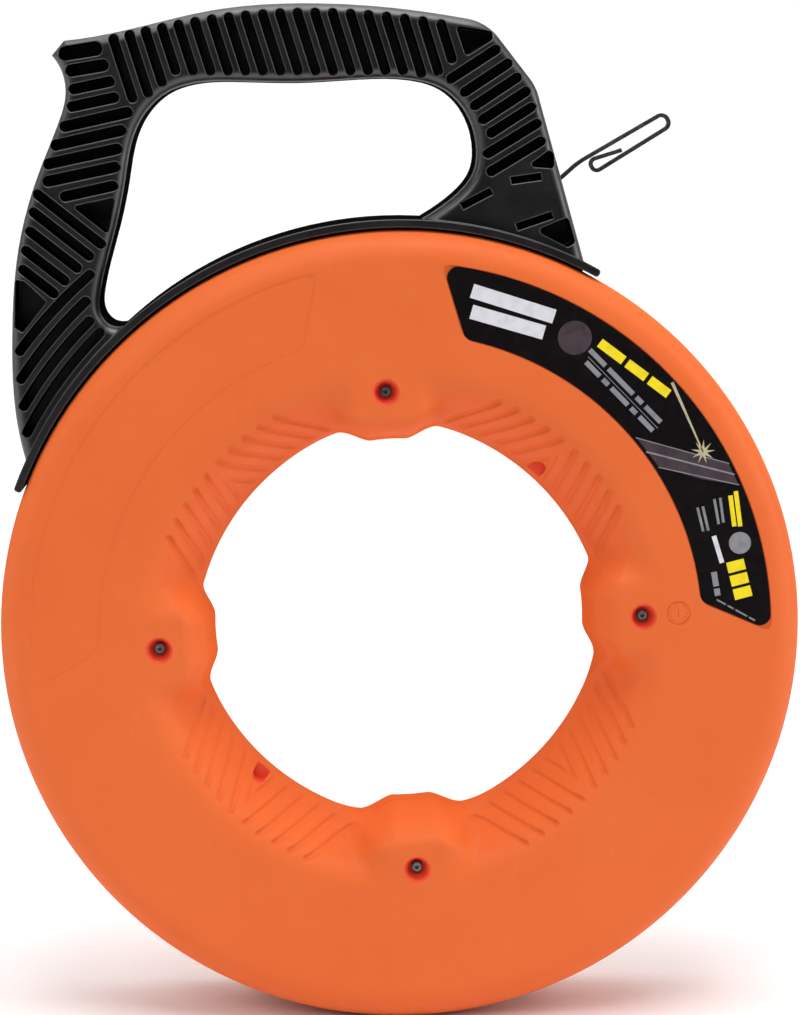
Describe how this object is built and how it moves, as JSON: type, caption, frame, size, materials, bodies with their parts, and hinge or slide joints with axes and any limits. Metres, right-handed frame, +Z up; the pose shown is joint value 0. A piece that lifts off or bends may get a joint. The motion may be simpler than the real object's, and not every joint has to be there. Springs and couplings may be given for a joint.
{
  "type": "fish tape reel",
  "caption": "A fish tape reel for pulling wire: an orange plastic case with a coil of flat steel tape, a black ribbed handle that rides in its rim, and a hooked tape end.",
  "frame": {"origin": "on the ground under the reel's axis, in the case's parting plane: the middle of the bounding box's bottom", "axes": "+Z up from the ground through the reel to the handle, +X to the hooked tape end, -Y out of the labelled front face"},
  "size_m": [0.305, 0.062, 0.3887],
  "materials": {
    "case_plastic": "moulded, satin",
    "handle_plastic": "moulded, glossy",
    "guide_plastic": "moulded",
    "label_film": "printed film",
    "tape_steel": "dark tempered",
    "screw_steel": "zinc plated"
  },
  "bodies": {
    "handle": {"handle": "handle_plastic", "nose_guide": "guide_plastic", "tape_feed": "tape_steel"},
    "reel": {"front_case_half": "case_plastic", "rear_case_half": "case_plastic", "front_label": "label_film", "rear_label": "label_film", "tape_coil": "tape_steel", "anchor_pin": "screw_steel", "tape_anchor": "screw_steel", "case_screw_right": "screw_steel", "case_screw_top": "screw_steel", "case_screw_left": "screw_steel", "case_screw_bottom": "screw_steel"},
    "leader": {"tape_leader": "tape_steel"}
  },
  "joints": [
    {"name": "reel_spin", "type": "hinge", "parent": "handle", "child": "reel", "pos_m": [0, 0, 0.1525], "axis": [0, 1, 0], "continuous": true},
    {"name": "tape_payout", "type": "slide", "parent": "handle", "child": "leader", "axis": [0.7431, 0, 0.6691], "range_m": [0, 0.012]}
  ]
}
